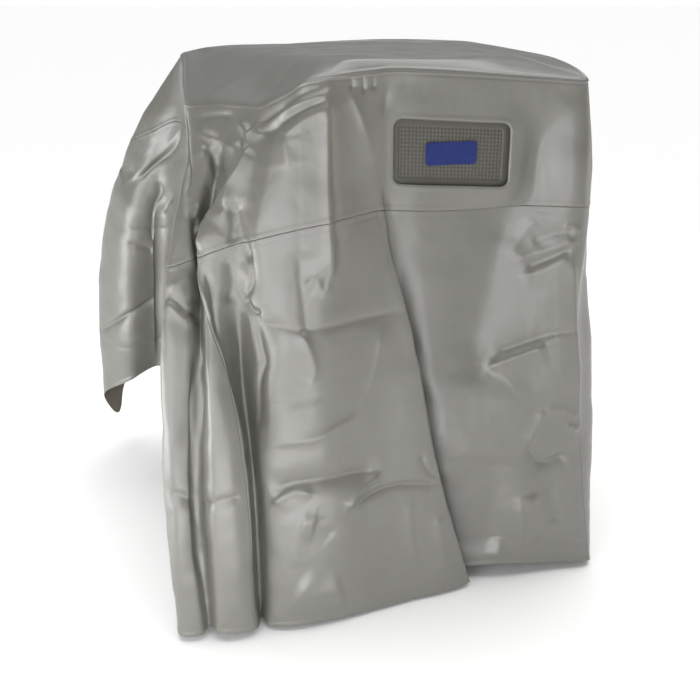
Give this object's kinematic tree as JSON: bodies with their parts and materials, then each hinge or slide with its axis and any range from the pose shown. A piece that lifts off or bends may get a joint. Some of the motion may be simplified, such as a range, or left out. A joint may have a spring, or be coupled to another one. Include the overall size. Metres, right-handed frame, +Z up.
{
  "type": "air conditioner cover",
  "caption": "Loose box-shaped cloth cover for an outdoor condenser, open below, with hanging folds, flared corners and a window panel.",
  "frame": {"origin": "under the middle of the top panel, where the cover rests on the unit", "axes": "+Z up; the front wall with the window panel faces -Y; +X towards the right side, seen from the front"},
  "size_m": [0.919, 0.8528, 0.9526],
  "materials": {
    "coated_cloth": "semi-gloss grey coated cloth",
    "window_plastic": "moulded, satin",
    "nameplate_enamel": "glossy, plain"
  },
  "bodies": {
    "root": {"top_panel": "coated_cloth", "band_front": "coated_cloth", "band_left": "coated_cloth", "band_rear": "coated_cloth", "band_right": "coated_cloth", "skirt_front": "coated_cloth", "skirt_left": "coated_cloth", "skirt_rear": "coated_cloth", "skirt_right": "coated_cloth", "window_insert": "window_plastic", "nameplate": "nameplate_enamel"}
  },
  "joints": []
}
